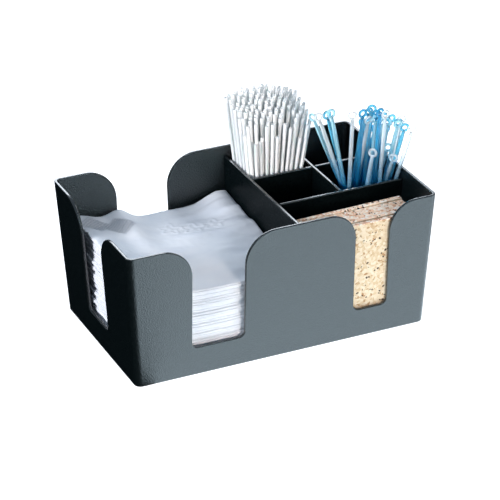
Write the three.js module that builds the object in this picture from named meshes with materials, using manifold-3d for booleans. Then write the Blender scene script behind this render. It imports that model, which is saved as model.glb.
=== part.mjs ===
// A six-compartment bar caddy: a napkin bay on the left, a coaster bay in front on the right and four
// cups behind it, with the napkins, coasters, straws and stirrers that it serves.
// Millimetres, +Z up, +X to the right along the long front, origin at the centre of the base.
import * as THREE from "three";
import { mergeVertices } from "three/addons/utils/BufferGeometryUtils.js";
import Module from "manifold-3d";

const wasm = await Module();
wasm.setup();

// ---- Driving dimensions ----

const CLEARANCE = 0.3;
const MERGE_DISTANCE = 1e-3;

// The open tray. Its walls lean outwards from the base to the rim.
const RIM_LENGTH = 242.2;
const RIM_WIDTH = 145.3;
const RIM_HEIGHT = 105.5;
const END_DRAFT = 6.05; // how far each end wall leans out at the rim
const SIDE_DRAFT = 5.7; // how far the front and back walls lean out at the rim
const WALL = 2.5;
const FLOOR = 3;
const CORNER_RADIUS = 5;
const INNER_CORNER_RADIUS = 3;
const ARC_SEGMENTS = 6;
const RING_ARC_SEGMENTS = 3;

// Grab slots, open at the rim.
const SLOT_CORNER = 5;
const NAPKIN_SLOT = { centre: -51.5, width: 41, bottom: 22.4, flare: 24 };
const END_SLOT = { centre: 1, width: 38, bottom: 21.7, flare: 24 };
const COASTER_SLOT = { centre: 69.4, width: 27, bottom: 23, flare: 21.5 };
const CUTTER_REACH = 24;

// Dividers.
const DIVIDER = 2.5;
const DIVIDER_TOP = 98;
const PARTITION_LEFT = 15.2;
const COASTER_DIVIDER_Y = -23.2;
const CROSS_DIVIDER_Y = 23.5;
const LAP_HEIGHT = 50;

// Napkins, folded to 5 inches nominal.
const NAPKIN = 125;
const STACK_TOP = 63;
const STACK_LIFT = 10; // the embossed left edges pile up higher than the folds
const STACK_LIFT_SPAN = 0.45;
const STACK_STEPS = 12;
const TOP_NAPKIN_THICK = 1.2;
const TOP_NAPKIN_STEPS = 16;

// The ruffles of the top napkin. Each hump has a height, a place (u, v) that runs from -1 to 1 across the
// napkin, left to right and front to back, and a spread each way.
const RUFFLE_GAP = 2.4;
const RUFFLES = {
  leftCurl: { height: 2, u: -0.95, v: 0, spreadU: 0.3, spreadV: Infinity },
  backRidge: { height: 7.5, u: -0.4, v: 1, spreadU: 0.17, spreadV: 0.85 },
  backCorner: { height: 7.7, u: 0.9, v: 1, spreadU: 0.25, spreadV: 0.6 },
  sideCrease: { height: 2.4, u: 1, v: 0.18, spreadU: 0.7, spreadV: 0.16 },
  swell: { height: 4.5, u: 0, v: -0.25, spreadU: 0.8, spreadV: 0.5 },
};

// Cork coasters, 3.5 inches square, on edge.
const COASTER = 88.9;
const COASTER_THICK = 4;
const COASTER_CORNER = 1.5;
const COASTER_LEAN = Math.atan(SIDE_DRAFT / RIM_HEIGHT); // they all lean as the front wall does
// How each coaster stands, from back to front: where its foot is in plan (x, y), how far its right end is
// raised (roll) and how far its right end is turned backwards (yaw), in radians.
const COASTERS = [
  [64.2, -38.0, 0.014, 0.014],
  [63.0, -42.5, 0, 0.014],
  [63.6, -46.9, 0, 0.014],
  [62.8, -51.4, 0, 0.014],
  [63.4, -55.8, 0, 0.014],
  [64.6, -61.6, 0, 0],
];

// Straws, 5.75 inches long, as one bundle that stands straight in its cup and fans out above it. Its plan is
// a rounded rectangle, with a centre and half sizes at the foot and at the head.
const STRAW_LENGTH = 146;
const BUNDLE_FOOT = [39.4, 43.6];
const BUNDLE_FOOT_HALF = [18.8, 17.6];
const BUNDLE_HEAD = [46.3, 52.9];
const BUNDLE_HEAD_HALF = [31.7, 23.9];
const BEND_START = 0.2; // the bend's two ends, as shares of the height
const BEND_END = 0.62;
const DOME_SIDE = 5; // how far the heads drop towards the sides and towards the front
const DOME_SIDE_OFFSET = 0.25;
const DOME_FRONT = 3.2;
const BUNDLE_ROUNDNESS = 0.25;
const BUNDLE_SIDES = 24;
const BUNDLE_RINGS = 7;

// Stirrers with a ring at the head.
const STIRRER_RADIUS = 1.5;
const STIRRER_SIDES = 6;
const RING_RADIUS = 3.65;
const RING_HOLE = 1.7;
const RING_THICK = 1.7;

// How the stirrers stand in their cup, one line each: where the foot is in plan, where the head is, the
// length, how far the ring is turned about the shaft in radians, and the colour.
const STIRRERS = [
  [109.5, -13.9, 59.7, 10.6, 154.3, -0.98, "pale"],
  [103.1, -19.0, 60.3, 2.0, 155.1, -0.38, "clear"],
  [107.7, 7.3, 68.9, 4.9, 151.5, 0.13, "blue"],
  [90.5, -19.8, 68.4, -3.1, 153.8, 0.08, "pale"],
  [75.8, -13.3, 79.7, -17.3, 152.8, -0.26, "clear"],
  [82.3, 10.4, 92.8, -7.8, 142.3, -1.26, "blue"],
  [86.6, -1.5, 88.4, -16.5, 153.4, 0.09, "dark"],
  [87.9, 14.8, 94.1, -14.8, 148.6, 0.21, "clear"],
  [94.8, 17.5, 98.8, -6.3, 149.7, 0.04, "blue"],
  [85.3, -8.1, 99.6, -9.6, 152.1, -0.36, "blue"],
  [99.1, 19.7, 106.7, -4.8, 146.1, -0.81, "dark"],
  [92.0, -7.1, 98.6, -18.0, 147.5, 0, "pale"],
  [96.4, -9.2, 99.4, -22.4, 154.4, 0.17, "dark"],
  [87.7, 10.4, 106.1, -15.4, 145.4, 0.34, "pale"],
  [102.6, 19.9, 112.3, -7.0, 144.1, -0.92, "blue"],
  [99.1, -11.9, 102.6, -24.8, 153.2, 0.2, "clear"],
  [107.3, 17.3, 111.7, -12.4, 143.0, -0.91, "pale"],
  [109.4, 14.2, 119.2, -15.3, 142.2, -0.53, "blue"],
  [104.8, 14.6, 112.3, -27.3, 149.8, -0.08, "pale"],
  [109.8, 10.8, 118.7, -20.4, 147.0, -0.08, "clear"],
  [95.2, 1.2, 120.5, -22.9, 142.1, -0.26, "blue"],
  [101.7, 5.7, 121.4, -32.3, 145.6, -0.66, "clear"],
  [76.5, -17.0, 95.2, -20.8, 123.2, -0.93, "clear"],
  [84.5, 6.7, 111.0, -15.5, 125.3, -0.46, "pale"],
  [93.5, 10.6, 110.6, -25.1, 122.4, -0.68, "clear"],
  [83.1, 19.1, 126.0, 7.7, 138.8, 0.05, "blue"],
  [101.7, 16.4, 102.9, -13.3, 149.3, 0.1, "dark"],
  [82.8, 15.0, 103.1, 5.0, 139.9, -0.13, "blue"],
  [77.9, 19.7, 119.7, 5.3, 133.2, -0.59, "blue"],
  [91.7, 19.7, 117.4, 18.7, 123.0, -1.26, "dark"],
  [76.1, 15.3, 109.3, 15.5, 124.0, -1.21, "blue"],
];

// ---- Solids ----

function toSolid(geometry) {
  const bare = geometry.clone();
  bare.deleteAttribute("normal");
  bare.deleteAttribute("uv");
  const merged = mergeVertices(bare, MERGE_DISTANCE);
  return new wasm.Manifold(
    new wasm.Mesh({
      numProp: 3,
      vertProperties: merged.attributes.position.array,
      triVerts: new Uint32Array(merged.index.array),
    }),
  );
}

function toGeometry(solid) {
  const made = solid.getMesh();
  const geometry = new THREE.BufferGeometry();
  geometry.setAttribute("position", new THREE.BufferAttribute(made.vertProperties, 3));
  geometry.setIndex(new THREE.BufferAttribute(made.triVerts, 1));
  geometry.computeVertexNormals();
  return geometry;
}

// Moves every vertex of a geometry by a function of its place.
function reshape(geometry, move) {
  const at = geometry.attributes.position;
  const point = new THREE.Vector3();
  for (let i = 0; i < at.count; i += 1) {
    move(point.fromBufferAttribute(at, i));
    at.setXYZ(i, point.x, point.y, point.z);
  }
  return geometry;
}

function extrude(shape, depth) {
  return new THREE.ExtrudeGeometry(shape, { depth, bevelEnabled: false, curveSegments: ARC_SEGMENTS });
}

function roundedRectangle(length, width, radius) {
  const shape = new THREE.Shape();
  const x = length / 2 - radius;
  const y = width / 2 - radius;
  shape.absarc(x, y, radius, 0, Math.PI / 2);
  shape.absarc(-x, y, radius, Math.PI / 2, Math.PI);
  shape.absarc(-x, -y, radius, Math.PI, 1.5 * Math.PI);
  shape.absarc(x, -y, radius, 1.5 * Math.PI, 2 * Math.PI);
  shape.closePath();
  return shape;
}

// An upright panel: its outline lies in the XZ plane and its thickness is centred on Y = 0.
function uprightPanel(shape, thickness) {
  return extrude(shape, thickness).rotateX(Math.PI / 2).translate(0, thickness / 2, 0);
}

// ---- The tray ----

const outerX = (z) => RIM_LENGTH / 2 - END_DRAFT * (1 - z / RIM_HEIGHT);
const outerY = (z) => RIM_WIDTH / 2 - SIDE_DRAFT * (1 - z / RIM_HEIGHT);
const innerX = (z) => outerX(z) - WALL;
const innerY = (z) => outerY(z) - WALL;

// A block with rounded upright corners whose half sizes are functions of the height.
function draftedBlock(halfX, halfY, radius, bottom, top) {
  const foot = roundedRectangle(2 * halfX(bottom), 2 * halfY(bottom), radius);
  const block = extrude(foot, top - bottom).translate(0, 0, bottom);
  return reshape(block, (p) => {
    p.x *= halfX(p.z) / halfX(bottom);
    p.y *= halfY(p.z) / halfY(bottom);
  });
}

// The opening of a grab slot: its bottom corners are rounded, and at the rim both sides curve out.
function slotCutter({ width, bottom, flare }) {
  const side = width / 2;
  const top = RIM_HEIGHT;
  const above = top + WALL;
  const shape = new THREE.Shape();
  shape.moveTo(-side + SLOT_CORNER, bottom);
  shape.lineTo(side - SLOT_CORNER, bottom);
  shape.absarc(side - SLOT_CORNER, bottom + SLOT_CORNER, SLOT_CORNER, -Math.PI / 2, 0);
  shape.absarc(side + flare, top - flare, flare, Math.PI, Math.PI / 2, true);
  shape.lineTo(side + flare, above);
  shape.lineTo(-side - flare, above);
  shape.lineTo(-side - flare, top);
  shape.absarc(-side - flare, top - flare, flare, Math.PI / 2, 0, true);
  shape.absarc(-side + SLOT_CORNER, bottom + SLOT_CORNER, SLOT_CORNER, Math.PI, 1.5 * Math.PI);
  shape.closePath();
  return uprightPanel(shape, CUTTER_REACH);
}

function trayGeometry() {
  const outside = draftedBlock(outerX, outerY, CORNER_RADIUS, 0, RIM_HEIGHT);
  const inside = draftedBlock(innerX, innerY, INNER_CORNER_RADIUS, FLOOR, RIM_HEIGHT + WALL);
  const wallY = innerY(RIM_HEIGHT / 2);
  const wallX = innerX(RIM_HEIGHT / 2);
  const cutters = [
    slotCutter(NAPKIN_SLOT).translate(NAPKIN_SLOT.centre, -wallY, 0),
    slotCutter(NAPKIN_SLOT).translate(NAPKIN_SLOT.centre, wallY, 0),
    slotCutter(COASTER_SLOT).translate(COASTER_SLOT.centre, -wallY, 0),
    slotCutter(END_SLOT).rotateZ(Math.PI / 2).translate(-wallX, END_SLOT.centre, 0),
  ];
  let tray = toSolid(outside).subtract(toSolid(inside));
  for (const cutter of cutters) tray = tray.subtract(toSolid(cutter));
  return toGeometry(tray);
}

// ---- The dividers ----

const PARTITION_RIGHT = PARTITION_LEFT + DIVIDER;
const DIVIDER_BOTTOM = FLOOR + CLEARANCE;
const COLUMN_X = (PARTITION_RIGHT + innerX(DIVIDER_TOP)) / 2;
const LAP = DIVIDER + 2 * CLEARANCE;

// A divider that runs between two lines, each of them a function of the height.
function dividerPanel(startAt, endAt) {
  const shape = new THREE.Shape();
  shape.moveTo(startAt(DIVIDER_BOTTOM), DIVIDER_BOTTOM);
  shape.lineTo(endAt(DIVIDER_BOTTOM), DIVIDER_BOTTOM);
  shape.lineTo(endAt(DIVIDER_TOP), DIVIDER_TOP);
  shape.lineTo(startAt(DIVIDER_TOP), DIVIDER_TOP);
  shape.closePath();
  return uprightPanel(shape, DIVIDER);
}

const toBackWall = (z) => innerY(z) - CLEARANCE;
const toFrontWall = (z) => -innerY(z) + CLEARANCE;
const toRightWall = (z) => innerX(z) - CLEARANCE;
const fromPartition = () => PARTITION_RIGHT + CLEARANCE;
const fromCoasterDivider = () => COASTER_DIVIDER_Y + DIVIDER / 2 + CLEARANCE;

// The half lap where two dividers cross: one is notched from above and the other from below.
function notched(geometry, x, y, bottom, top) {
  const notch = new THREE.BoxGeometry(LAP, LAP, top - bottom).translate(x, y, (top + bottom) / 2);
  return toGeometry(toSolid(geometry).subtract(toSolid(notch)));
}

function bayPartitionGeometry() {
  const panel = dividerPanel(toFrontWall, toBackWall).rotateZ(Math.PI / 2);
  return panel.translate(PARTITION_LEFT + DIVIDER / 2, 0, 0);
}

function coasterDividerGeometry() {
  return dividerPanel(fromPartition, toRightWall).translate(0, COASTER_DIVIDER_Y, 0);
}

function crossDividerGeometry() {
  const panel = dividerPanel(fromPartition, toRightWall).translate(0, CROSS_DIVIDER_Y, 0);
  return notched(panel, COLUMN_X, CROSS_DIVIDER_Y, LAP_HEIGHT, DIVIDER_TOP + WALL);
}

function columnDividerGeometry() {
  const panel = dividerPanel(fromCoasterDivider, toBackWall).rotateZ(Math.PI / 2);
  panel.translate(COLUMN_X, 0, 0);
  return notched(panel, COLUMN_X, CROSS_DIVIDER_Y, 0, LAP_HEIGHT + CLEARANCE);
}

// ---- Napkins ----

const BAY_X = (-innerX(FLOOR) + PARTITION_LEFT) / 2;
const bump = (offset, span) => Math.exp(-((offset / span) ** 2));

// How high the stack reaches, from u = -1 at its left edge to u = 1 at its right edge.
const stackTop = (u) => STACK_TOP + STACK_LIFT * bump(u + 1, STACK_LIFT_SPAN);

// How far the ruffled top napkin stands above the stack.
function ruffle(u, v) {
  const hump = (r) => r.height * bump(u - r.u, r.spreadU) * bump(v - r.v, r.spreadV);
  return Object.values(RUFFLES).reduce((sum, r) => sum + hump(r), RUFFLE_GAP);
}

function napkinStackGeometry() {
  const half = NAPKIN / 2;
  const bottom = FLOOR + CLEARANCE;
  const shape = new THREE.Shape();
  shape.moveTo(-half, bottom);
  shape.lineTo(half, bottom);
  for (let i = STACK_STEPS; i >= 0; i -= 1) {
    const u = (2 * i) / STACK_STEPS - 1;
    shape.lineTo(u * half, stackTop(u));
  }
  shape.closePath();
  return uprightPanel(shape, NAPKIN);
}

function topNapkinGeometry() {
  const steps = TOP_NAPKIN_STEPS;
  const sheet = new THREE.BoxGeometry(NAPKIN, NAPKIN, TOP_NAPKIN_THICK, steps, steps, 1);
  return reshape(sheet, (p) => {
    const u = (2 * p.x) / NAPKIN;
    const v = (2 * p.y) / NAPKIN;
    p.z += stackTop(u) + ruffle(u, v) - TOP_NAPKIN_THICK / 2;
  });
}

// ---- Coasters ----

function coasterGeometry() {
  const shape = roundedRectangle(COASTER, COASTER, COASTER_CORNER);
  return uprightPanel(shape, COASTER_THICK).translate(0, 0, COASTER / 2);
}

function placeCoaster(mesh, x, y, roll, yaw) {
  mesh.position.set(x, y, FLOOR + 2 * CLEARANCE + (COASTER / 2) * Math.sin(roll));
  mesh.rotation.set(COASTER_LEAN, -roll, yaw, "ZXY");
}

// ---- Straws ----

// How far the bundle has gone from its foot's plan to its head's, at t, a height over the straws' length.
function bend(t) {
  const span = BEND_END - BEND_START;
  const slope = 1 / (1 - (BEND_START + BEND_END) / 2);
  if (t < BEND_START) return 0;
  if (t < BEND_END) return (slope * (t - BEND_START) ** 2) / (2 * span);
  return slope * (span / 2 + t - BEND_END);
}

// How much lower than its highest straw the bundle is at u and v, from -1 to 1 across it.
const dome = (u, v) => DOME_SIDE * (u + DOME_SIDE_OFFSET) ** 2 + DOME_FRONT * (1 - v) ** 2;
const squareUp = (a) => (Math.abs(a) < MERGE_DISTANCE ? 0 : Math.sign(a) * Math.abs(a) ** BUNDLE_ROUNDNESS);

function strawBundleGeometry() {
  const bundle = new THREE.CylinderGeometry(1, 1, 1, BUNDLE_SIDES, BUNDLE_RINGS);
  bundle.rotateX(Math.PI / 2).translate(0, 0, 1 / 2);
  return reshape(bundle, (p) => {
    const radius = Math.hypot(p.x, p.y);
    const turn = Math.atan2(p.y, p.x);
    const u = radius * squareUp(Math.cos(turn));
    const v = radius * squareUp(Math.sin(turn));
    const height = (STRAW_LENGTH - dome(u, v)) * p.z;
    const along = (foot, head) => THREE.MathUtils.lerp(foot, head, bend(height / STRAW_LENGTH));
    p.x = along(BUNDLE_FOOT[0], BUNDLE_HEAD[0]) + u * along(BUNDLE_FOOT_HALF[0], BUNDLE_HEAD_HALF[0]);
    p.y = along(BUNDLE_FOOT[1], BUNDLE_HEAD[1]) + v * along(BUNDLE_FOOT_HALF[1], BUNDLE_HEAD_HALF[1]);
    p.z = FLOOR + CLEARANCE + height;
  });
}

// ---- Stirrers ----

function stirrerGeometry(length) {
  const shaftLength = length - 2 * RING_RADIUS + RING_THICK / 2;
  const shaft = new THREE.CylinderGeometry(STIRRER_RADIUS, STIRRER_RADIUS, shaftLength, STIRRER_SIDES);
  shaft.rotateX(Math.PI / 2).translate(0, 0, shaftLength / 2);
  const rim = new THREE.Shape().absarc(0, 0, RING_RADIUS, 0, 2 * Math.PI);
  rim.holes.push(new THREE.Path().absarc(0, 0, RING_HOLE, 0, 2 * Math.PI, true));
  const ring = new THREE.ExtrudeGeometry(rim, {
    depth: RING_THICK,
    bevelEnabled: false,
    curveSegments: RING_ARC_SEGMENTS,
  });
  ring.rotateX(Math.PI / 2).translate(0, RING_THICK / 2, length - RING_RADIUS);
  return toGeometry(toSolid(shaft).add(toSolid(ring)));
}

function placeStirrer(mesh, foot, head, length, turn) {
  const across = new THREE.Vector3(head[0] - foot[0], head[1] - foot[1], 0);
  const along = across.clone().setZ(Math.sqrt(length ** 2 - across.lengthSq())).normalize();
  mesh.quaternion.setFromUnitVectors(new THREE.Vector3(0, 0, 1), along);
  mesh.rotateZ(turn);
  mesh.position.set(foot[0], foot[1], FLOOR + 3 * CLEARANCE);
}

// ---- The scene graph ----

function named(name, geometry, color, roughness) {
  const mesh = new THREE.Mesh(geometry, new THREE.MeshStandardMaterial({ color, roughness, metalness: 0 }));
  mesh.name = name;
  return mesh;
}

const BLACK_PLASTIC = 0x15191b;
const PAPER = 0xeef0f6;
const CORK = 0xdcae7c;
const CLEAR_WHITE = 0xe2ece6;
const STIRRER_COLOURS = { clear: 0xe6f1f5, blue: 0x3f8fbf, pale: 0xbfe0f0, dark: 0x1f5f95 };

function caddyGroup() {
  const group = new THREE.Group();
  group.add(named("caddy_tray", trayGeometry(), BLACK_PLASTIC, 0.5));
  group.add(named("bay_partition", bayPartitionGeometry(), BLACK_PLASTIC, 0.45));
  group.add(named("coaster_divider", coasterDividerGeometry(), BLACK_PLASTIC, 0.45));
  group.add(named("cross_divider", crossDividerGeometry(), BLACK_PLASTIC, 0.45));
  group.add(named("column_divider", columnDividerGeometry(), BLACK_PLASTIC, 0.45));
  return group;
}

function napkinGroup() {
  const group = new THREE.Group();
  group.position.x = BAY_X;
  group.add(named("napkin_stack", napkinStackGeometry(), PAPER, 0.95));
  group.add(named("top_napkin", topNapkinGeometry(), PAPER, 0.95));
  return group;
}

function coasterGroup() {
  const group = new THREE.Group();
  COASTERS.forEach(([x, y, roll, yaw], i) => {
    const coaster = named(`coaster_${i + 1}`, coasterGeometry(), CORK, 0.9);
    placeCoaster(coaster, x, y, roll, yaw);
    group.add(coaster);
  });
  return group;
}

function stirrerGroup() {
  const group = new THREE.Group();
  STIRRERS.forEach(([footX, footY, headX, headY, length, turn, colour], i) => {
    const name = `stirrer_${String(i + 1).padStart(2, "0")}`;
    const stirrer = named(name, stirrerGeometry(length), STIRRER_COLOURS[colour], 0.15);
    placeStirrer(stirrer, [footX, footY], [headX, headY], length, turn);
    group.add(stirrer);
  });
  return group;
}

const barCaddy = new THREE.Group();
barCaddy.add(caddyGroup());
barCaddy.add(napkinGroup());
barCaddy.add(coasterGroup());
barCaddy.add(named("straw_bundle", strawBundleGeometry(), CLEAR_WHITE, 0.3));
barCaddy.add(stirrerGroup());

export default barCaddy;
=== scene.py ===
"""The looks of a six-compartment bar caddy with its napkins, coasters, straws and stirrers."""
import math
import random

import bmesh
import bpy
import numpy as np
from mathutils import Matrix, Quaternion, Vector, noise


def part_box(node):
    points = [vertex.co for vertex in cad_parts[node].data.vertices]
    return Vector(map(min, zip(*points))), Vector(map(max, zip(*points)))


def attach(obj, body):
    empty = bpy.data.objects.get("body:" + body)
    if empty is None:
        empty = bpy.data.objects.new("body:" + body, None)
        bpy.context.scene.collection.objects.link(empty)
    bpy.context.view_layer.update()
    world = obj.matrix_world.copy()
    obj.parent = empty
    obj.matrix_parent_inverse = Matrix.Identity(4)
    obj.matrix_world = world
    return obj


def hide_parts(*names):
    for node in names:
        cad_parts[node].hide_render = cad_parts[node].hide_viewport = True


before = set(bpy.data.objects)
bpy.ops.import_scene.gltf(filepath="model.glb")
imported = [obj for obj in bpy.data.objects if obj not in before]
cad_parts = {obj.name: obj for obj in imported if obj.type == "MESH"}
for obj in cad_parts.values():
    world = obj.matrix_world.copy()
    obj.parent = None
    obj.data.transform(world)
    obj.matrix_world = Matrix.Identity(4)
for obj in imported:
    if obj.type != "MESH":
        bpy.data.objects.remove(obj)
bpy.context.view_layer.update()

MM = 0.001
UP = Vector((0, 0, 1))
rng = random.Random(7)

# ---- Dimensions, in millimetres, as in the CAD model ----

SIDE_DRAFT = 5.7
RIM_HEIGHT = 105.5

STACK_LIFT = 10
STACK_LIFT_SPAN = 0.45
STACK_COUNT = 34
# How much of its share of the stack a napkin fills, how far it may be turned (degrees) and shifted, and how
# much shorter than its place it may be at its left and front edges.
NAPKIN_FILL = 0.94
NAPKIN_TURN = 0.35
NAPKIN_SHIFT = 0.5
SHORT_LEFT = (0, 0.6, 1.4, 2.4)
SHORT_FRONT = (0, 0.3, 0.8, 1.6)
RUFFLE_GAP = 2.4
# The humps of the top napkin: height, place (u, v) from -1 to 1 across the napkin, and spread each way.
RUFFLES = {
    "left_curl": (2, (-0.95, 0), (0.3, math.inf)),
    "back_ridge": (7.5, (-0.4, 1), (0.17, 0.85)),
    "back_corner": (7.7, (0.9, 1), (0.25, 0.6)),
    "side_crease": (2.4, (1, 0.18), (0.7, 0.16)),
    "swell": (4.5, (0, -0.25), (0.8, 0.5)),
}

COASTER = 88.9
COASTER_THICK = 4
COASTER_CORNER = 1.5
COASTER_LEAN = math.atan(SIDE_DRAFT / RIM_HEIGHT)
# How each coaster stands, from back to front: its foot in plan (x, y), its roll and its yaw in radians.
COASTERS = [
    (64.2, -38.0, 0.014, 0.014),
    (63.0, -42.5, 0, 0.014),
    (63.6, -46.9, 0, 0.014),
    (62.8, -51.4, 0, 0.014),
    (63.4, -55.8, 0, 0.014),
    (64.6, -61.6, 0, 0),
]
COASTER_BOTTOM = 3.6

STRAW_LENGTH = 146
STRAW_BOTTOM = 3.3
STRAW_RADIUS = 1.4
STRAW_WALL = 0.22
STRAW_PITCH = 3.0
# The bundle's plan, a centre and half sizes, at the foot and at the head.
BUNDLE_FOOT, BUNDLE_FOOT_HALF = (39.4, 43.6), (18.8, 17.6)
BUNDLE_HEAD, BUNDLE_HEAD_HALF = (46.3, 52.9), (31.7, 23.9)
BEND_START, BEND_END = 0.2, 0.62
DOME_SIDE, DOME_SIDE_OFFSET, DOME_FRONT = 5, 0.25, 3.2
BUNDLE_ROUNDNESS = 0.25
# How far a straw's head stays inside the bundle's outline and strays from its place, how much its length
# varies, and how many front rows have shorter straws in them, with their share and how much shorter they are.
HEAD_INSET = 1
HEAD_STRAY = 1
LENGTH_STRAY = 2.5
LOW_ROWS = 3
LOW_SHARE = 0.3
LOW_DROP = (3, 14)

STIRRER_BOTTOM = 3.9
STIRRER_RADIUS = 1.5
RING_RADIUS = 3.65
RING_HOLE = 1.7
RING_HALF_THICK = 0.85
# How the stirrers stand, one line each: where the foot is in plan (x, y), where the head is (x, y), the
# length, how far the ring is turned about the shaft in radians, and the colour. Most heads follow the photo.
# The feet are not seen there, and were found by a search that keeps the stirrers apart.
STIRRERS = [
    (109.5, -13.9, 59.7, 10.6, 154.3, -0.98, "pale"),
    (103.1, -19.0, 60.3, 2.0, 155.1, -0.38, "clear"),
    (107.7, 7.3, 68.9, 4.9, 151.5, 0.13, "blue"),
    (90.5, -19.8, 68.4, -3.1, 153.8, 0.08, "pale"),
    (75.8, -13.3, 79.7, -17.3, 152.8, -0.26, "clear"),
    (82.3, 10.4, 92.8, -7.8, 142.3, -1.26, "blue"),
    (86.6, -1.5, 88.4, -16.5, 153.4, 0.09, "dark"),
    (87.9, 14.8, 94.1, -14.8, 148.6, 0.21, "clear"),
    (94.8, 17.5, 98.8, -6.3, 149.7, 0.04, "blue"),
    (85.3, -8.1, 99.6, -9.6, 152.1, -0.36, "blue"),
    (99.1, 19.7, 106.7, -4.8, 146.1, -0.81, "dark"),
    (92.0, -7.1, 98.6, -18.0, 147.5, 0, "pale"),
    (96.4, -9.2, 99.4, -22.4, 154.4, 0.17, "dark"),
    (87.7, 10.4, 106.1, -15.4, 145.4, 0.34, "pale"),
    (102.6, 19.9, 112.3, -7.0, 144.1, -0.92, "blue"),
    (99.1, -11.9, 102.6, -24.8, 153.2, 0.2, "clear"),
    (107.3, 17.3, 111.7, -12.4, 143.0, -0.91, "pale"),
    (109.4, 14.2, 119.2, -15.3, 142.2, -0.53, "blue"),
    (104.8, 14.6, 112.3, -27.3, 149.8, -0.08, "pale"),
    (109.8, 10.8, 118.7, -20.4, 147.0, -0.08, "clear"),
    (95.2, 1.2, 120.5, -22.9, 142.1, -0.26, "blue"),
    (101.7, 5.7, 121.4, -32.3, 145.6, -0.66, "clear"),
    (76.5, -17.0, 95.2, -20.8, 123.2, -0.93, "clear"),
    (84.5, 6.7, 111.0, -15.5, 125.3, -0.46, "pale"),
    (93.5, 10.6, 110.6, -25.1, 122.4, -0.68, "clear"),
    (83.1, 19.1, 126.0, 7.7, 138.8, 0.05, "blue"),
    (101.7, 16.4, 102.9, -13.3, 149.3, 0.1, "dark"),
    (82.8, 15.0, 103.1, 5.0, 139.9, -0.13, "blue"),
    (77.9, 19.7, 119.7, 5.3, 133.2, -0.59, "blue"),
    (91.7, 19.7, 117.4, 18.7, 123.0, -1.26, "dark"),
    (76.1, 15.3, 109.3, 15.5, 124.0, -1.21, "blue"),
]
SINGLE_STIRRER = "stirrer_05"

EMBOSS_DEPTH = 0.45
EMBOSS_EYE_DEPTH = 0.4


# ---- Shader helpers ----

class Surface:
    """A material with one Principled shader, and short calls that add nodes to it."""

    def __init__(self, name, roughness, **constants):
        self.material = bpy.data.materials.new(name)
        self.material.use_nodes = True
        self.tree = self.material.node_tree
        self.bsdf = self.tree.nodes["Principled BSDF"]
        self.bsdf.inputs["Roughness"].default_value = roughness
        for socket, value in constants.items():
            self.bsdf.inputs[socket.replace("_", " ")].default_value = value
        self.place = self.add("ShaderNodeTexCoord").outputs["Object"]

    def add(self, kind, inputs=None, **settings):
        node = self.tree.nodes.new(kind)
        for name, value in settings.items():
            setattr(node, name, value)
        for name, value in (inputs or {}).items():
            self.feed(node.inputs[name], value)
        return node

    def feed(self, socket, value):
        """Links a socket to another, or gives it a plain value."""
        if isinstance(value, bpy.types.NodeSocket):
            self.tree.links.new(value, socket)
        else:
            socket.default_value = value

    def stretched(self, x, y, z):
        mapping = self.add("ShaderNodeMapping", {"Vector": self.place, "Scale": (x, y, z)})
        return mapping.outputs["Vector"]

    def noise(self, scale, detail=3.0, at=None):
        inputs = {"Vector": at or self.place, "Scale": scale, "Detail": detail}
        return self.add("ShaderNodeTexNoise", inputs).outputs["Fac"]

    def cells(self, scale, output="Distance", feature="F1", at=None):
        inputs = {"Vector": at or self.place, "Scale": scale}
        return self.add("ShaderNodeTexVoronoi", inputs, feature=feature).outputs[output]

    def math(self, operation, a, b=0.0):
        return self.add("ShaderNodeMath", {0: a, 1: b}, operation=operation).outputs[0]

    def spread(self, value, low, high, to_low, to_high):
        inputs = {"Value": value, "From Min": low, "From Max": high, "To Min": to_low, "To Max": to_high}
        return self.add("ShaderNodeMapRange", inputs).outputs["Result"]

    def ramp(self, value, *stops):
        node = self.add("ShaderNodeValToRGB", {"Fac": value})
        elements = node.color_ramp.elements
        while len(elements) < len(stops):
            elements.new(1)
        for element, (position, color) in zip(elements, stops):
            element.position = position
            element.color = (*color, 1)
        return node.outputs["Color"]

    def mix(self, share, a, b, blend="MIX"):
        node = self.add("ShaderNodeMix", data_type="RGBA", blend_type=blend)
        self.feed(node.inputs[0], share)
        for socket, value in ((node.inputs[6], a), (node.inputs[7], b)):
            self.feed(socket, value if isinstance(value, bpy.types.NodeSocket) else (*value, 1))
        return node.outputs[2]

    def attribute(self, name):
        return self.add("ShaderNodeAttribute", attribute_name=name).outputs["Fac"]

    def color(self, value):
        self.feed(self.bsdf.inputs["Base Color"], value)

    def bump(self, height, strength, distance):
        inputs = {"Height": height, "Strength": strength, "Distance": distance}
        inputs["Normal"] = self.normal if hasattr(self, "normal") else self.add(
            "ShaderNodeNewGeometry").outputs["Normal"]
        self.normal = self.add("ShaderNodeBump", inputs).outputs["Normal"]
        self.feed(self.bsdf.inputs["Normal"], self.normal)


# ---- Materials ----

def moulded_plastic(name, roughness, grain, gloss):
    """Black ABS, satin, with a fine pebbled grain in its mould."""
    s = Surface(name, roughness, Specular_IOR_Level=gloss)
    mottle = s.noise(420, 4)
    s.color(s.ramp(mottle, (0.3, (0.0015, 0.003, 0.0035)), (0.7, (0.003, 0.0055, 0.006))))
    s.feed(s.bsdf.inputs["Roughness"],
           s.spread(s.noise(600, 3), 0.3, 0.7, roughness - 0.05, roughness + 0.06))
    s.bump(s.noise(1300, 3), grain, 0.0004)
    s.bump(s.cells(1050, feature="SMOOTH_F1"), grain, 0.0002)
    return s.material


def edge_plastic():
    """The same plastic where the mould's polished edges leave it glossy."""
    s = Surface("polished_abs_edge", 0.26, Specular_IOR_Level=1.0)
    s.color((0.006, 0.0085, 0.009, 1))
    return s.material


HATCH_PITCH = 1.5
# The largest share of blue-grey painted shade in the hatch's grooves.
HATCH_PAINTED_SHADE = 0.42


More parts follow.
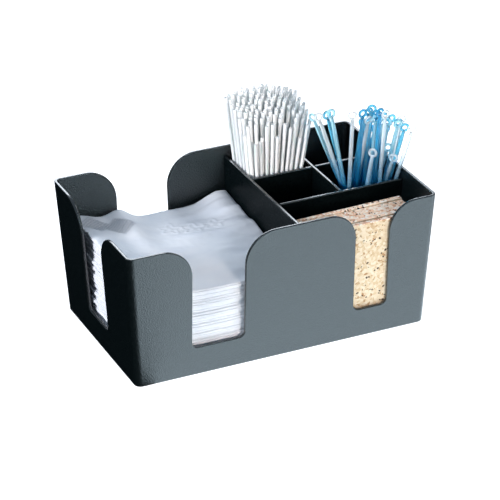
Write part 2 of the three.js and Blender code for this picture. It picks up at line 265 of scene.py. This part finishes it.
def tissue():
    """Soft white paper with fine fibres, and an embossed hatch where the mesh asks for it, with blue-grey
    shade painted into the hatch's grooves.
    """
    s = Surface("tissue_paper", 0.9, Specular_IOR_Level=0.15, Sheen_Weight=0.1, Sheen_Roughness=0.6)
    clouds = s.noise(55, 4)
    white = s.ramp(clouds, (0.3, (0.80, 0.83, 0.88)), (0.7, (0.86, 0.88, 0.91)))
    fibres = s.noise(1500, 4)
    s.bump(fibres, 0.25, 0.00015)
    axes = s.add("ShaderNodeSeparateXYZ", {"Vector": s.place})
    x, y = axes.outputs["X"], axes.outputs["Y"]
    lines_per_turn = 2 * math.pi / (HATCH_PITCH * MM)
    rising = s.math("SINE", s.math("MULTIPLY", s.math("ADD", x, y), lines_per_turn))
    falling = s.math("SINE", s.math("MULTIPLY", s.math("SUBTRACT", x, y), lines_per_turn * 0.5))
    weave = s.math("ADD", rising, s.math("MULTIPLY", falling, 0.4))
    hatch = s.math("MULTIPLY", weave, s.attribute("hatch"))
    # The hatch's grooves are tinted blue-grey: painted shade in the embossing.
    s.color(s.mix(s.spread(hatch, 0.0, -1.0, 0.0, HATCH_PAINTED_SHADE), white, (0.42, 0.52, 0.66)))
    s.bump(hatch, 1.0, 0.0004)
    return s.material


# The colours of cork's granules, as stops of a ramp: on a pressed face, and warmer where it is cut, and there
# also much paler, a painted light on the coasters' top edges.
PRESSED_SHADES = (
    (0.0, (0.42, 0.22, 0.10)),
    (0.1, (0.60, 0.42, 0.25)),
    (0.5, (0.70, 0.54, 0.36)),
    (1.0, (0.76, 0.63, 0.47)),
)
CUT_SHADES_WITH_PAINTED_LIGHT = (
    (0.0, (0.62, 0.30, 0.17)),
    (0.25, (0.93, 0.62, 0.42)),
    (0.6, (1.0, 0.80, 0.62)),
    (1.0, (1.0, 0.92, 0.82)),
)
GRANULES = 560


def cork(name, shades):
    """Pressed cork: pale granules and small, nearly black flecks of bark."""
    s = Surface(name, 0.85, Specular_IOR_Level=0.2)
    speckle = s.add("ShaderNodeTexNoise", {"Vector": s.place, "Scale": 260.0})
    wander = s.mix(0.0035, s.place, speckle.outputs["Color"])
    granule = s.add("ShaderNodeSeparateColor", {"Color": s.cells(GRANULES, "Color", at=wander)}).outputs[0]
    body = s.ramp(granule, *shades)
    fleck = s.math("LESS_THAN", s.cells(330, "Distance", at=wander), 0.27)
    rare = s.math("GREATER_THAN", s.noise(85, 3), 0.5)
    s.color(s.mix(s.math("MULTIPLY", fleck, rare), body, (0.06, 0.03, 0.02)))
    s.bump(s.cells(GRANULES, "Distance", at=wander), 0.4, 0.0003)
    s.bump(s.noise(900, 3), 0.25, 0.0002)
    return s.material


def straw_plastic():
    """Thin translucent polypropylene with faint lines along the tube."""
    s = Surface("straw_polypropylene", 0.3, Specular_IOR_Level=0.5, IOR=1.49, Transmission_Weight=0.03)
    streaks = s.noise(700, 2, s.stretched(1, 1, 0.02))
    line, body, shine = (0.66, 0.80, 0.73), (0.97, 0.985, 0.975), (1.0, 1.0, 0.995)
    s.color(s.ramp(streaks, (0.28, line), (0.42, body), (0.75, shine)))
    s.bump(streaks, 0.12, 0.0001)
    return s.material


# The heights, in metres, between which a stirrer's colour changes from deep to light: painted shade below the
# cup's rim, painted light above it.
SHADE_TO_LIGHT_SPAN = (0.105, 0.137)


def stirrer_plastic(name, lit_tint, deep):
    """Clear moulded styrene in its own colour, painted deeper below the cup's rim as shade and paler above it
    as light.
    """
    s = Surface(name, 0.08, IOR=1.5, Transmission_Weight=0.7, Coat_Weight=0.5, Coat_Roughness=0.03)
    height = s.add("ShaderNodeSeparateXYZ", {"Vector": s.place}).outputs["Z"]
    swirl = s.noise(140, 3, s.stretched(1, 1, 0.25))
    level = s.math("ADD", height, s.math("MULTIPLY", swirl, 0.03))
    # Deeper below the rim and paler above: painted shade and painted light.
    s.color(s.mix(s.spread(level, *SHADE_TO_LIGHT_SPAN, 0.0, 1.0), deep, lit_tint))
    s.bump(s.noise(420, 2), 0.08, 0.0002)
    return s.material


# ---- Mesh helpers ----

def new_piece(name, vertices, faces, material, smooth=True):
    """A mesh piece from points in millimetres."""
    mesh = bpy.data.meshes.new(name)
    mesh.from_pydata([tuple(c * MM for c in p) for p in vertices], [], faces)
    mesh.validate()
    mesh.materials.append(material)
    if smooth:
        mesh.shade_smooth()
    piece = bpy.data.objects.new(name, mesh)
    bpy.context.scene.collection.objects.link(piece)
    return piece


def belongs(piece, body, slot, *nodes):
    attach(piece, body)
    if nodes:
        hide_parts(*nodes)
    return piece


# Faces within this many degrees of each other are one flat face, and an edge over this many is rounded.
FLAT_WITHIN = 1.5
SHARP_OVER = 30
EDGE_SEGMENTS = 3
# The polished top edges face upwards, and are all above this height in metres.
TOP_EDGES_ABOVE = 0.05


def rounded_copy(node, name, width, material, edge_material):
    """A copy of a CAD node's mesh with its sharp edges rounded off, and its top and edges glossier."""
    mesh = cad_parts[node].data.copy()
    mesh.name = name
    cleaned = bmesh.new()
    cleaned.from_mesh(mesh)
    bmesh.ops.remove_doubles(cleaned, verts=cleaned.verts, dist=0.01 * MM)
    bmesh.ops.dissolve_limit(cleaned, angle_limit=math.radians(FLAT_WITHIN), verts=cleaned.verts,
                             edges=cleaned.edges)
    cleaned.to_mesh(mesh)
    cleaned.free()
    mesh.materials.clear()
    mesh.materials.append(material)
    mesh.materials.append(edge_material)
    for polygon in mesh.polygons:
        polygon.material_index = int(polygon.normal.z > 0.7 and polygon.center.z > TOP_EDGES_ABOVE)
    mesh.shade_smooth()
    piece = bpy.data.objects.new(name, mesh)
    bpy.context.scene.collection.objects.link(piece)
    bevel = piece.modifiers.new("rounded_edges", "BEVEL")
    bevel.limit_method = "ANGLE"
    bevel.angle_limit = math.radians(SHARP_OVER)
    bevel.width = width * MM
    bevel.segments = EDGE_SEGMENTS
    bevel.material = 1
    piece.modifiers.new("even_shading", "WEIGHTED_NORMAL").keep_sharp = True
    return piece


# ---- The caddy ----

def make_caddy():
    edges = edge_plastic()
    grained = moulded_plastic("grained_abs", 0.33, 1.0, 1.0)
    tray = rounded_copy("caddy_tray", "tray_shell", 0.8, grained, edges)
    belongs(tray, "caddy", "tray_plastic", "caddy_tray")
    smooth = moulded_plastic("smooth_abs", 0.3, 0.15, 0.025)
    for node in ("bay_partition", "coaster_divider", "cross_divider", "column_divider"):
        panel = rounded_copy(node, node + "_panel", 0.7, smooth, edges)
        belongs(panel, "caddy", "tray_plastic", node)


# ---- Napkins ----

stack_low, stack_high = (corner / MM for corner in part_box("napkin_stack"))
NAPKIN_HALF = (stack_high.x - stack_low.x) / 2
BAY_X = (stack_high.x + stack_low.x) / 2
STACK_BOTTOM = stack_low.z
STACK_TOP = stack_high.z - STACK_LIFT
# How far folds and open plies draw in along a napkin's side, from its bottom to its top.
FOLD_PROFILE = (0.7, 0.25, 0.0, 0.25, 0.6, 0.25, 0.0, 0.25, 0.7)
PLY_PROFILE = (0.9, 0.0, 0.9, 0.0, 0.9, 0.0, 0.9, 0.0, 0.9)
SIDE_LEVELS = len(FOLD_PROFILE) - 1
# How unevenly the plies end at the left and at the back.
LEFT_RAGGED, BACK_RAGGED = 1.3, 0.5


def bump_of(offset, span):
    return np.exp(-((offset / span) ** 2))


def stack_top(u):
    return STACK_TOP + STACK_LIFT * bump_of(u + 1, STACK_LIFT_SPAN)


def ruffle(u, v):
    total = RUFFLE_GAP + 0 * u
    for height, (at_u, at_v), (span_u, span_v) in RUFFLES.values():
        total = total + height * bump_of(u - at_u, span_u) * bump_of(v - at_v, span_v)
    return total


def wrinkles(x, y, seed, scale, height):
    """Smooth noise over a grid of points."""
    flat = [noise.noise(Vector((a / scale, b / scale, seed))) for a, b in zip(x.ravel(), y.ravel())]
    return height * np.array(flat).reshape(x.shape)


def front_roll(v):
    """From 0 at the front edge, where the ruffled napkin lies down on the stack, to 1 further back."""
    t = np.clip((v + 1) / 0.45, 0, 1)
    return t * t * (3 - 2 * t)


def napkin_mesh(name, material, steps, lower, upper, seed, turn=0.0, shift=(0.0, 0.0), short=(0.0, 0.0)):
    """A folded napkin between two surfaces, folded at the front and right, with open plies left and back.

    It is short by the given lengths at its left and front edges.
    """
    nx, ny = steps
    u, v = np.meshgrid(np.linspace(-1, 1, nx + 1), np.linspace(-1, 1, ny + 1), indexing="ij")
    x = NAPKIN_HALF * u + short[0] * (1 - u) / 2
    y = NAPKIN_HALF * v + short[1] * (1 - v) / 2
    low, high = lower(u, v), upper(u, v)
    points, faces = [], []
    index = {}

    def place(px, py, pz):
        cos, sin = math.cos(turn), math.sin(turn)
        points.append((BAY_X + shift[0] + px * cos - py * sin, shift[1] + px * sin + py * cos, pz))
        return len(points) - 1

    rim = [(i, 0) for i in range(nx)] + [(nx, j) for j in range(ny)]
    rim += [(i, ny) for i in range(nx, 0, -1)] + [(0, j) for j in range(ny, 0, -1)]

    def side_point(i, j, level):
        share = level / SIDE_LEVELS
        z = low[i, j] + (high[i, j] - low[i, j]) * share
        px, py = x[i, j], y[i, j]
        ply = level // 2
        rough = noise.noise(Vector((px * 0.55 + seed, py * 0.55, ply * 7.3)))
        if i == 0:
            px += PLY_PROFILE[level] + LEFT_RAGGED * rough
        if j == ny:
            py -= PLY_PROFILE[level] + BACK_RAGGED * rough
        if i == nx:
            px -= FOLD_PROFILE[level]
        if j == 0:
            py += FOLD_PROFILE[level]
        return place(px, py, z)

    for level in (0, SIDE_LEVELS):
        for i in range(nx + 1):
            for j in range(ny + 1):
                edge = i in (0, nx) or j in (0, ny)
                if edge:
                    index[i, j, level] = side_point(i, j, level)
                else:
                    index[i, j, level] = place(x[i, j], y[i, j], (low if level == 0 else high)[i, j])
    for level in range(1, SIDE_LEVELS):
        for i, j in rim:
            index[i, j, level] = side_point(i, j, level)
    for i in range(nx):
        for j in range(ny):
            corners = ((i, j), (i + 1, j), (i + 1, j + 1), (i, j + 1))
            faces.append([index[a, b, SIDE_LEVELS] for a, b in corners])
            faces.append([index[a, b, 0] for a, b in reversed(corners)])
    for (a, b), (c, d) in zip(rim, rim[1:] + rim[:1]):
        for level in range(SIDE_LEVELS):
            faces.append([index[a, b, level], index[c, d, level],
                          index[c, d, level + 1], index[a, b, level + 1]])
    return new_piece(name, points, faces, material)


def make_napkins():
    paper = tissue()

    def layer(share):
        """A surface in the stack: flat at the bottom, and as ruffled as the top napkin at the top."""
        def surface(u, v):
            flat = STACK_BOTTOM + (stack_top(u) - STACK_BOTTOM) * share
            return flat + np.maximum(ruffle(u, v) - 1.7, 0) * front_roll(v) * share ** 5
        return surface

    for k in range(STACK_COUNT):
        base, top = layer(k / STACK_COUNT), layer((k + NAPKIN_FILL) / STACK_COUNT)
        turn = math.radians(rng.uniform(-NAPKIN_TURN, NAPKIN_TURN))
        shift = (rng.uniform(-NAPKIN_SHIFT, NAPKIN_SHIFT), rng.uniform(-NAPKIN_SHIFT, NAPKIN_SHIFT))
        short = (rng.choice(SHORT_LEFT), rng.choice(SHORT_FRONT))
        piece = napkin_mesh(f"napkin_{k + 1:02d}", paper, (24, 40), base, top, 3.1 * k, turn, shift, short)
        belongs(piece, "napkins", "napkin_paper", "napkin_stack")

    def underside(u, v):
        return stack_top(u) + (ruffle(u, v) - 0.9) * front_roll(v) + 0.1

    def topside(u, v):
        x, y = NAPKIN_HALF * u, NAPKIN_HALF * v
        relief = wrinkles(x * 0.45, y, 4.0, 12, 1.1) + wrinkles(x, y, 9.0, 4, 0.15)
        relief = relief + wrinkles(x * 0.25, y, 13.0, 7, 1.5) * np.clip((u - 0.1) * 1.6, 0, 1)
        return underside(u, v) + 1.1 + relief * np.clip((v + 1.05) * 4, 0, 1) + rosettes(x, y)

    piece = napkin_mesh("ruffled_napkin", paper, (125, 125), underside, topside, 77.0)
    belongs(piece, "top_napkin", "napkin_paper", "top_napkin")
    mark_hatch(piece)


# The embossed border along the back and left edges: flowers, and diamonds with a fine hatch.
FLOWERS = ((3, 31), (19, 25), (35, 24), (-52, -4))
HATCHES = ((-33, 40), (-50, 46), (-53, -34))
HATCH_REACH = 15


def rosettes(x, y):
    """Small embossed flowers along the border."""
    total = np.zeros_like(x)
    for cx, cy in FLOWERS:
        dx, dy = x - cx, y - cy
        radius, angle = np.hypot(dx, dy), np.arctan2(dy, dx)
        petals = 6.5 + 2.2 * np.cos(5 * angle)
        total += EMBOSS_DEPTH * np.exp(-((radius - petals) / 1.2) ** 2)
        total += EMBOSS_EYE_DEPTH * np.exp(-((radius / 2) ** 2))
    return total


def mark_hatch(piece):
    """Writes where the border's hatched diamonds are, for the paper's shader, which embosses them and paints
    shade into their grooves.
    """
    mesh = piece.data
    values = np.zeros(len(mesh.vertices), np.float32)
    for i, vertex in enumerate(mesh.vertices):
        x, y = vertex.co.x / MM - BAY_X, vertex.co.y / MM
        for cx, cy in HATCHES:
            reach = 1 - (abs(x - cx) + abs(y - cy)) / HATCH_REACH
            values[i] = max(values[i], min(1.0, 4 * reach))
    mesh.attributes.new("hatch", "FLOAT", "POINT").data.foreach_set("value", values)


# ---- Coasters ----

OUTLINE_STEP = 1.6


def coaster_outline(inset):
    """Points round a coaster's square outline, OUTLINE_STEP or a little more apart."""
    half = COASTER / 2 - COASTER_CORNER
    radius = COASTER_CORNER - inset
    points = []
    for k, (sx, sz) in enumerate(((1, 1), (-1, 1), (-1, -1), (1, -1))):
        for step in range(5):
            angle = math.pi / 2 * (k + step / 4)
            points.append((sx * half + radius * math.cos(angle), sz * half + radius * math.sin(angle)))
        nx, nz = ((-1, 1), (-1, -1), (1, -1), (1, 1))[k]
        start = points[-1]
        angle = math.pi / 2 * (k + 1)
        end = (nx * half + radius * math.cos(angle), nz * half + radius * math.sin(angle))
        count = int(2 * half / OUTLINE_STEP)
        for step in range(1, count):
            t = step / count
            points.append((start[0] + (end[0] - start[0]) * t, start[1] + (end[1] - start[1]) * t))
    return points


def make_coasters():
    # The cut sides take a paler cork, painted light for the coasters' top edges.
    face, rim = cork("pressed_cork", PRESSED_SHADES), cork("cut_cork_painted_light", CUT_SHADES_WITH_PAINTED_LIGHT)
    for i, (x, y, roll, yaw) in enumerate(COASTERS):
        half = COASTER_THICK / 2
        levels = ((-half, 0.45), (-half + 0.4, 0.0), (-0.7, -0.05),
                  (0.6, 0.05), (half - 0.4, 0.0), (half, 0.45))
        rings = []
        points = []
        for level, (depth, inset) in enumerate(levels):
            ring = []
            for px, pz in coaster_outline(inset):
                chip = noise.noise(Vector((px * 0.5, pz * 0.5, 9 * i + level * 0.8)))
                scale = 1 - 0.004 * max(0.0, chip) - 0.002
                ring.append(len(points))
                points.append((px * scale, depth, COASTER / 2 + pz * scale))
            rings.append(ring)
        faces = []
        for a, b in zip(rings, rings[1:]):
            for k in range(len(a)):
                n = (k + 1) % len(a)
                faces.append([a[k], a[n], b[n], b[k]])
        faces.append(list(rings[0])[::-1])
        faces.append(list(rings[-1]))
        turn = Quaternion(UP, yaw) @ Quaternion((1, 0, 0), COASTER_LEAN) @ Quaternion((0, 1, 0), -roll)
        stand = Vector((x, y, COASTER_BOTTOM + COASTER / 2 * math.sin(roll)))
        placed = [turn @ Vector(p) + stand for p in points]
        piece = new_piece(f"cork_coaster_{i + 1}", placed, faces, face)
        piece.data.materials.append(rim)
        for polygon in piece.data.polygons[:-2]:
            polygon.material_index = 1
        outward(piece)
        piece.modifiers.new("even_shading", "WEIGHTED_NORMAL").keep_sharp = True
        belongs(piece, f"coaster_{i + 1}", "cork", f"coaster_{i + 1}")


def outward(piece):
    """Turns a closed mesh's faces outwards."""
    mesh = bmesh.new()
    mesh.from_mesh(piece.data)
    bmesh.ops.recalc_face_normals(mesh, faces=mesh.faces)
    mesh.to_mesh(piece.data)
    mesh.free()


# ---- Straws ----

def bend(t):
    """How far a straw has gone from its foot's place to its head's, at a height over the straws' length."""
    span = BEND_END - BEND_START
    slope = 1 / (1 - (BEND_START + BEND_END) / 2)
    if t < BEND_START:
        return 0.0
    if t < BEND_END:
        return slope * (t - BEND_START) ** 2 / (2 * span)
    return slope * (span / 2 + t - BEND_END)


def dome(u, v):
    """How much lower than its highest straw the bundle is at u and v, from -1 to 1 across it."""
    return DOME_SIDE * (u + DOME_SIDE_OFFSET) ** 2 + DOME_FRONT * (1 - v) ** 2


def straw_places():
    """The straws' places (u, v) from -1 to 1 across the bundle, packed in rows from front to back."""
    across, deep = (half - STRAW_RADIUS for half in BUNDLE_FOOT_HALF)
    row_step = STRAW_PITCH * math.sqrt(3) / 2
    row_count = int(2 * deep / row_step) + 1
    rows = []
    for j in range(row_count):
        v = 2 * j / (row_count - 1) - 1
        count = int(2 * across / STRAW_PITCH) + 1 - j % 2
        reach = 1 if j % 2 == 0 else 1 - STRAW_PITCH / 2 / across
        row = [(reach * (2 * i / (count - 1) - 1), v) for i in range(count)]
        squareness = 2 / BUNDLE_ROUNDNESS
        rows.append([(u, v) for u, v in row if abs(u) ** squareness + abs(v) ** squareness < 1.6])
    return rows


def add_straw(points, faces, place, jitter, length):
    """One hollow tube from its place in the bundle's foot to its place in the bundle's head."""
    sides, rings = 12, 12
    bottom = len(points)
    for radius in (STRAW_RADIUS, STRAW_RADIUS - STRAW_WALL):
        for ring in range(rings):
            height = length * ring / (rings - 1)
            share = bend(height / STRAW_LENGTH)
            centre = []
            for axis in range(2):
                foot_reach = BUNDLE_FOOT_HALF[axis] - STRAW_RADIUS
                head_reach = BUNDLE_HEAD_HALF[axis] - STRAW_RADIUS - HEAD_INSET
                foot = BUNDLE_FOOT[axis] + place[axis] * foot_reach
                head = BUNDLE_HEAD[axis] + place[axis] * head_reach + jitter[axis]
                centre.append(foot + (head - foot) * share)
            for side in range(sides):
                angle = 2 * math.pi * side / sides
                points.append((centre[0] + radius * math.cos(angle), centre[1] + radius * math.sin(angle),
                               STRAW_BOTTOM + height))

    def at(shell, ring, side):
        return bottom + (shell * rings + ring) * sides + side % sides

    for side in range(sides):
        for ring in range(rings - 1):
            faces.append([at(0, ring, side), at(0, ring, side + 1),
                          at(0, ring + 1, side + 1), at(0, ring + 1, side)])
            faces.append([at(1, ring, side + 1), at(1, ring, side),
                          at(1, ring + 1, side), at(1, ring + 1, side + 1)])
        faces.append([at(0, rings - 1, side), at(0, rings - 1, side + 1),
                      at(1, rings - 1, side + 1), at(1, rings - 1, side)])
        faces.append([at(0, 0, side + 1), at(0, 0, side), at(1, 0, side), at(1, 0, side + 1)])


def make_straws():
    material = straw_plastic()
    for number, row in enumerate(straw_places(), 1):
        points, faces = [], []
        for place in row:
            jitter = (rng.uniform(-HEAD_STRAY, HEAD_STRAY), rng.uniform(-HEAD_STRAY, HEAD_STRAY))
            drop = dome(*place) + rng.uniform(0, LENGTH_STRAY)
            if number <= LOW_ROWS and rng.random() < LOW_SHARE:
                drop += rng.uniform(*LOW_DROP)
            add_straw(points, faces, place, jitter, STRAW_LENGTH - drop)
        piece = new_piece(f"straws_row_{number}", points, faces, material)
        piece.data.set_sharp_from_angle(angle=math.radians(50))
        belongs(piece, "straws", "straw_plastic", "straw_bundle")


# ---- Stirrers ----

def ring_mesh(length):
    """The stirrer's ring, round in section, as a bmesh."""
    major = (RING_RADIUS + RING_HOLE) / 2
    minor = (RING_RADIUS - RING_HOLE) / 2
    turns, sides = 28, 10
    mesh = bmesh.new()
    rows = []
    for i in range(turns):
        a = 2 * math.pi * i / turns
        row = []
        for j in range(sides):
            b = 2 * math.pi * j / sides
            reach = major + minor * math.cos(b)
            height = length - RING_RADIUS + reach * math.sin(a)
            row.append(mesh.verts.new((reach * math.cos(a), RING_HALF_THICK * math.sin(b), height)))
        rows.append(row)
    for i in range(turns):
        for j in range(sides):
            n, m = (i + 1) % turns, (j + 1) % sides
            mesh.faces.new((rows[i][j], rows[i][m], rows[n][m], rows[n][j]))
    bmesh.ops.recalc_face_normals(mesh, faces=mesh.faces)
    return mesh


def shaft_mesh(length):
    """The stirrer's shaft: a rounded tip, a straight run and a slight neck under the ring."""
    profile = [(0.0, 0.0), (0.75, 0.12), (1.25, 0.55), (STIRRER_RADIUS, 1.2)]
    top = length - 2 * RING_RADIUS + 0.9
    profile += [(STIRRER_RADIUS, top * k / 6) for k in range(1, 6)]
    profile += [(STIRRER_RADIUS, top - 7), (1.3, top - 3), (1.15, top - 0.4)]
    profile += [(0.8, top + 0.1), (0.0, top + 0.2)]
    sides = 14
    mesh = bmesh.new()
    rows = []
    for radius, z in profile:
        if radius == 0:
            rows.append([mesh.verts.new((0, 0, z))])
        else:
            turns = [2 * math.pi * k / sides for k in range(sides)]
            rows.append([mesh.verts.new((radius * math.cos(a), radius * math.sin(a), z)) for a in turns])
    for a, b in zip(rows, rows[1:]):
        for k in range(sides):
            n = (k + 1) % sides
            if len(a) == 1:
                mesh.faces.new((a[0], b[n], b[k]))
            elif len(b) == 1:
                mesh.faces.new((a[k], a[n], b[0]))
            else:
                mesh.faces.new((a[k], a[n], b[n], b[k]))
    bmesh.ops.recalc_face_normals(mesh, faces=mesh.faces)
    return mesh


def as_object(name, built):
    mesh = bpy.data.meshes.new(name)
    built.to_mesh(mesh)
    built.free()
    made = bpy.data.objects.new(name, mesh)
    bpy.context.scene.collection.objects.link(made)
    return made


def stirrer_shape(length):
    """Vertices and faces of one stirrer at the origin: its shaft and ring joined into one solid."""
    shaft = as_object("shaft", shaft_mesh(length))
    ring = as_object("ring", ring_mesh(length))
    join = shaft.modifiers.new("join", "BOOLEAN")
    join.operation = "UNION"
    join.solver = "EXACT"
    join.object = ring
    joined = shaft.evaluated_get(bpy.context.evaluated_depsgraph_get()).to_mesh()
    vertices = [v.co.copy() for v in joined.vertices]
    faces = [list(p.vertices) for p in joined.polygons]
    bpy.data.objects.remove(shaft)
    bpy.data.objects.remove(ring)
    return vertices, faces


def make_stirrers():
    # Each colour's pair: the paler, above the rim, is painted light; the deeper, below it, painted shade.
    materials = {
        "clear": stirrer_plastic("clear_styrene", (0.95, 0.985, 1.0), (0.06, 0.50, 0.78)),
        "blue": stirrer_plastic("blue_styrene", (0.16, 0.64, 0.86), (0.0, 0.30, 0.60)),
        "pale": stirrer_plastic("pale_blue_styrene", (0.52, 0.86, 0.96), (0.0, 0.42, 0.74)),
        "dark": stirrer_plastic("dark_blue_styrene", (0.05, 0.47, 0.76), (0.0, 0.15, 0.36)),
    }
    for number, (foot_x, foot_y, head_x, head_y, length, turn, colour) in enumerate(STIRRERS, 1):
        vertices, faces = stirrer_shape(length)
        across = Vector((head_x - foot_x, head_y - foot_y, 0))
        direction = across + UP * math.sqrt(length ** 2 - across.length_squared)
        stand = UP.rotation_difference(direction) @ Quaternion(UP, turn)
        placed = [stand @ v + Vector((foot_x, foot_y, STIRRER_BOTTOM)) for v in vertices]
        node = f"stirrer_{number:02d}"
        piece = new_piece(f"swizzle_{number:02d}", placed, faces, materials[colour])
        body = "single_stirrer" if node == SINGLE_STIRRER else "stirrers"
        belongs(piece, body, "stirrer_" + colour, node)


# ---- Stage: floor, lights and camera ----

def make_floor():
    mesh = bpy.data.meshes.new("studio_floor")
    reach = 6.0
    corners = [(-reach, -reach, 0), (reach, -reach, 0), (reach, reach, 0), (-reach, reach, 0)]
    mesh.from_pydata(corners, [], [(0, 1, 2, 3)])
    floor = bpy.data.objects.new("studio_floor", mesh)
    bpy.context.scene.collection.objects.link(floor)
    paint = Surface("floor_paint", 0.9, Specular_IOR_Level=0.0, Emission_Strength=0.75)
    paint.color((0.86, 0.87, 0.88, 1))
    paint.bsdf.inputs["Emission Color"].default_value = (1, 1, 1, 1)
    mesh.materials.append(paint.material)
    floor.visible_diffuse = False
    floor.visible_glossy = False
    floor.visible_shadow = False


def area_light(name, place, target, size, power, color, glossy=True, diffuse=True):
    """A rectangle of light, which can be left out of what diffuse or glossy surfaces see."""
    lamp = bpy.data.lights.new(name, "AREA")
    lamp.shape = "RECTANGLE"
    lamp.size, lamp.size_y = size
    lamp.energy = power
    lamp.color = color
    made = bpy.data.objects.new(name, lamp)
    made.location = place
    made.rotation_mode = "QUATERNION"
    made.rotation_quaternion = (Vector(target) - Vector(place)).to_track_quat("-Z", "Y")
    made.visible_camera = False
    made.visible_glossy = glossy
    made.visible_diffuse = diffuse
    bpy.context.scene.collection.objects.link(made)


def light_card(name, x, y, size, power, color):
    """A card of light just under the floor, facing up, which the plastic mirrors."""
    area_light(name, (x, y, -0.003), (x, y, 1), size, power, color)


def make_lights():
    centre = (0, 0, 0.08)
    area_light("front_box", (0.1, -1.5, 0.42), centre, (0.35, 0.35), 11.5, (1, 0.87, 0.79), glossy=False)
    area_light("front_sheen", (0.1, -1.5, 0.42), centre, (0.35, 0.35), 15, (0.72, 1, 1.1), diffuse=False)
    area_light("left_box", (-1.4, -0.3, 0.5), centre, (0.5, 0.5), 23, (0.95, 0.95, 1), glossy=False)
    area_light("right_box", (1.25, 0.25, 1.0), centre, (0.5, 0.5), 3.5, (1, 0.99, 0.98))
    area_light("back_strip", (0.4, 1.85, 1.1), centre, (1.3, 0.5), 18, (0.9, 0.97, 1.05))
    light_card("front_card", 0.375, -0.51, (0.95, 0.98), 6.5, (0.8, 0.98, 1.1))
    light_card("back_card", 0.35, 0.6, (0.8, 0.9), 3, (0.9, 0.97, 1))


BACKDROP_THROUGH_PLASTIC = 0.6
SKY_STRENGTH = 0.4


def make_world():
    """A white backdrop behind the object and, more faintly, through clear plastic, and a soft sky."""
    world = bpy.data.worlds.new("studio")
    world.use_nodes = True
    tree = world.node_tree
    tree.nodes.clear()
    link = tree.links.new
    output = tree.nodes.new("ShaderNodeOutputWorld")
    chosen = tree.nodes.new("ShaderNodeMixShader")
    rays = tree.nodes.new("ShaderNodeLightPath")
    sky, backdrop = tree.nodes.new("ShaderNodeBackground"), tree.nodes.new("ShaderNodeBackground")
    direction = tree.nodes.new("ShaderNodeTexCoord")
    axes = tree.nodes.new("ShaderNodeSeparateXYZ")
    fade = tree.nodes.new("ShaderNodeMapRange")
    fade.inputs["From Min"].default_value = -0.1
    fade.inputs["From Max"].default_value = 0.5
    fade.inputs["To Min"].default_value = 0.0
    fade.inputs["To Max"].default_value = SKY_STRENGTH
    backdrop.inputs["Strength"].default_value = 1.0
    backdrop.inputs["Color"].default_value = (1, 1, 1, 1)
    sky.inputs["Color"].default_value = (0.75, 0.93, 1.15, 1)
    link(direction.outputs["Generated"], axes.inputs["Vector"])
    link(axes.outputs["Z"], fade.inputs["Value"])
    link(fade.outputs["Result"], sky.inputs["Strength"])
    seen = tree.nodes.new("ShaderNodeMath")
    seen.operation = "MULTIPLY_ADD"
    seen.inputs[1].default_value = BACKDROP_THROUGH_PLASTIC
    link(rays.outputs["Is Transmission Ray"], seen.inputs[0])
    link(rays.outputs["Is Camera Ray"], seen.inputs[2])
    link(seen.outputs[0], chosen.inputs["Fac"])
    link(sky.outputs["Background"], chosen.inputs[1])
    link(backdrop.outputs["Background"], chosen.inputs[2])
    link(chosen.outputs["Shader"], output.inputs["Surface"])
    bpy.context.scene.world = world


def make_camera():
    data = bpy.data.cameras.new("camera")
    data.lens = 186.01
    data.clip_end = 50
    camera = bpy.data.objects.new("camera", data)
    camera.location = (-0.6997, -1.5397, 0.9244)
    look = Vector((0.3699, 0.8085, -0.4578))
    camera.rotation_mode = "QUATERNION"
    roll = Quaternion((0, 0, 1), math.radians(-0.49))
    camera.rotation_quaternion = look.to_track_quat("-Z", "Y") @ roll
    bpy.context.scene.collection.objects.link(camera)
    bpy.context.scene.camera = camera


make_camera()
make_floor()
make_lights()
make_world()
make_caddy()
make_napkins()
make_coasters()
make_straws()
make_stirrers()
bpy.context.scene.view_settings.view_transform = "Standard"
